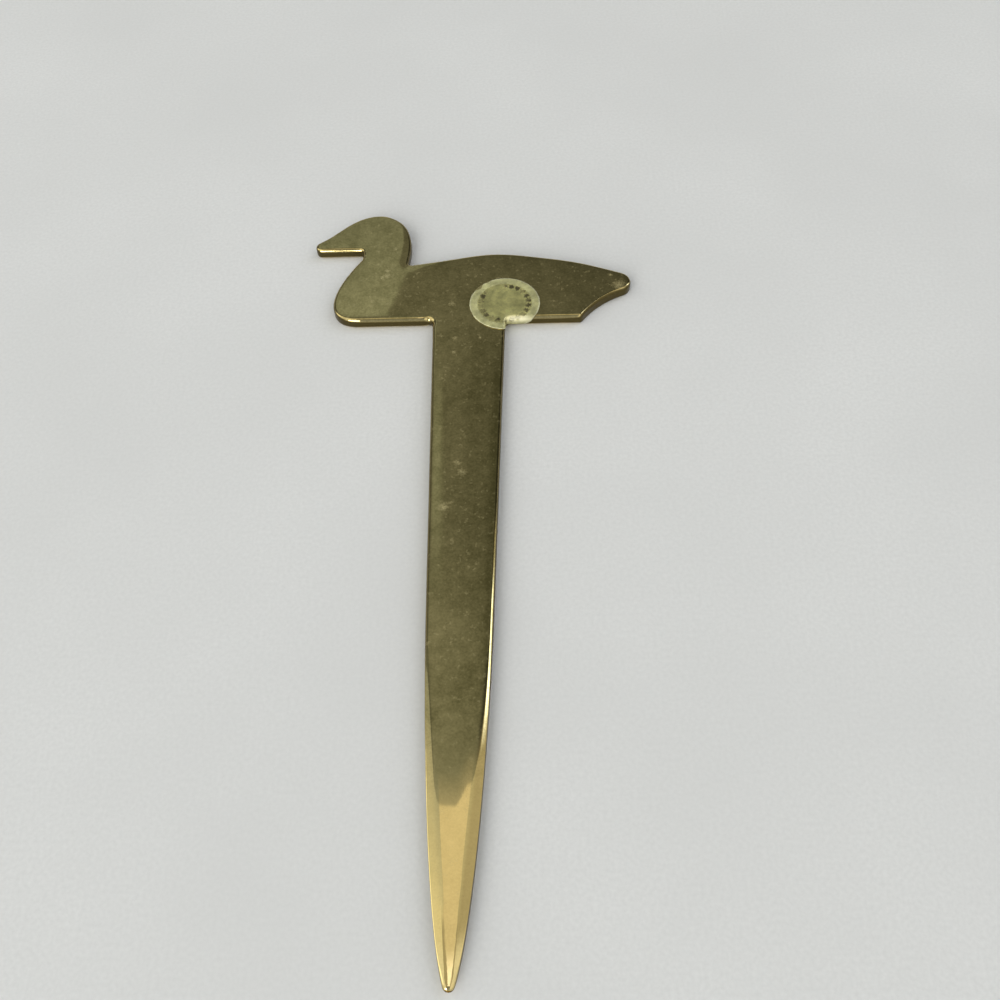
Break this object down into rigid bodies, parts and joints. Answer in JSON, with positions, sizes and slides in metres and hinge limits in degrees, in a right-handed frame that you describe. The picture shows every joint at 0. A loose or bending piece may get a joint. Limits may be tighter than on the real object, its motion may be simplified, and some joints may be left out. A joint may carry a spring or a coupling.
{
  "type": "letter opener",
  "caption": "Flat brass letter opener: a duck-shaped plate handle with a long pointed blade in one piece, ground bevels at the point and a round paper label folded over one edge.",
  "frame": {"origin": "on the plate's back face, on the blade's centre line, where the blade leaves the duck's belly", "axes": "+Y from the blade to the duck's head, so the tip is at -Y; +X from the breast to the tail; +Z out of the front face, which carries the label"},
  "size_m": [0.0877, 0.2095, 0.0034],
  "materials": {
    "brass_plate": "polished plate brass with buffed edges, dulled by handling and a thin brown-olive tarnish",
    "label_glue": "thin clear film of pressure-sensitive label glue",
    "label_paper": "pale gold coated label paper with a satin face"
  },
  "bodies": {
    "root": {"duck_blade_plate": "brass_plate", "label_glue": "label_glue", "round_label": "label_paper"}
  },
  "joints": []
}
